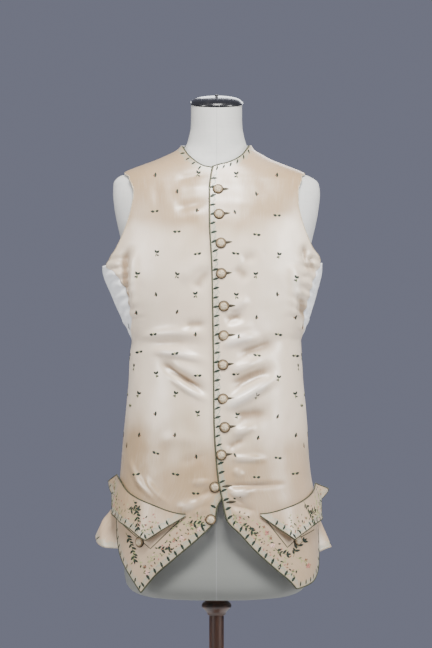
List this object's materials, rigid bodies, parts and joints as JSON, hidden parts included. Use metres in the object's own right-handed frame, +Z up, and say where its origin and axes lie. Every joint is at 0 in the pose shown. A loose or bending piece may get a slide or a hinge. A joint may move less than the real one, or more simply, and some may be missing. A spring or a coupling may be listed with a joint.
{
  "type": "embroidered waistcoat on dress form",
  "caption": "Sleeveless silk waistcoat with embroidered edges, pointed pocket flaps and linen back, buttoned on a limbless dress form with a turned wooden stand.",
  "frame": {"origin": "centre of the underside of the round foot, on the stand's axis", "axes": "+Z up along the stand; -Y is the way the garment faces; the wearer's right is at -X"},
  "size_m": [0.4388, 0.35, 1.5492],
  "materials": {
    "silk_satin": "cream silk satin with a soft sheen, green cord edges and floral silk embroidery",
    "back_linen": "plain bleached linen, matt",
    "button_silk": "silk-covered domed buttons worked with thread",
    "form_cover": "pale grey-white cotton cover stretched smooth, with fine seams",
    "cap_enamel": "glossy black",
    "stand_wood": "dark varnished turned beech"
  },
  "bodies": {
    "root": {"form_torso": "form_cover", "neck_cap": "cap_enamel", "cap_knob": "cap_enamel", "stand_collar": "stand_wood", "stand_post": "stand_wood", "stand_foot": "stand_wood", "front_right": "silk_satin", "front_left": "silk_satin", "back_right": "back_linen", "back_left": "back_linen", "skirt_gore_right": "silk_satin", "skirt_gore_left": "silk_satin", "pocket_flap_right": "silk_satin", "pocket_flap_left": "silk_satin", "button_01": "button_silk", "button_02": "button_silk", "button_03": "button_silk", "button_04": "button_silk", "button_05": "button_silk", "button_06": "button_silk", "button_07": "button_silk", "button_08": "button_silk", "button_09": "button_silk", "button_10": "button_silk", "button_11": "button_silk", "button_12": "button_silk", "pocket_button_right": "button_silk", "pocket_button_left": "button_silk"}
  },
  "joints": []
}
